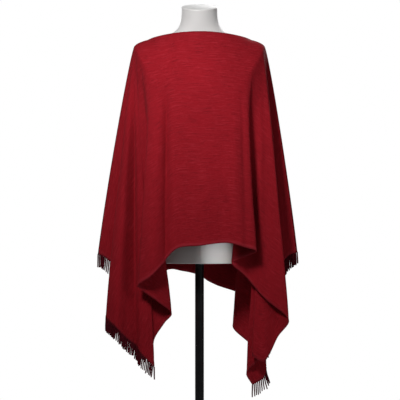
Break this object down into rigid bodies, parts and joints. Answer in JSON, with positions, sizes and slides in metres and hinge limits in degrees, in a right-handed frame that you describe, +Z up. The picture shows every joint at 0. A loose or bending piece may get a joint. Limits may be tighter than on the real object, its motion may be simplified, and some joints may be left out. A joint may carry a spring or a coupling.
{
  "type": "fringed poncho on a dress form",
  "caption": "Wide boat-neck poncho with fringed ends, draped in deep side folds over a limbless dress form on a pole with a round base.",
  "frame": {"origin": "centre of the round base's underside, on the floor", "axes": "+Z up along the pole, -Y towards the viewer of the garment's front, +X to the viewer's right"},
  "size_m": [0.632, 0.3666, 1.5112],
  "materials": {
    "cloth_front": "soft melange knit, matt",
    "cloth_back": "soft melange knit, matt",
    "yarn": "twisted yarn, matt",
    "form_shell": "smooth, matt",
    "form_cap": "smooth, satin",
    "dark_steel": "satin",
    "dark_base": "satin"
  },
  "bodies": {
    "root": {"front_panel": "cloth_front", "back_panel": "cloth_back", "fringe_front_left": "yarn", "fringe_front_right": "yarn", "fringe_back_left": "yarn", "fringe_back_right": "yarn", "dress_form": "form_shell", "neck_cap": "form_cap", "pole": "dark_steel", "base_plate": "dark_base"}
  },
  "joints": []
}
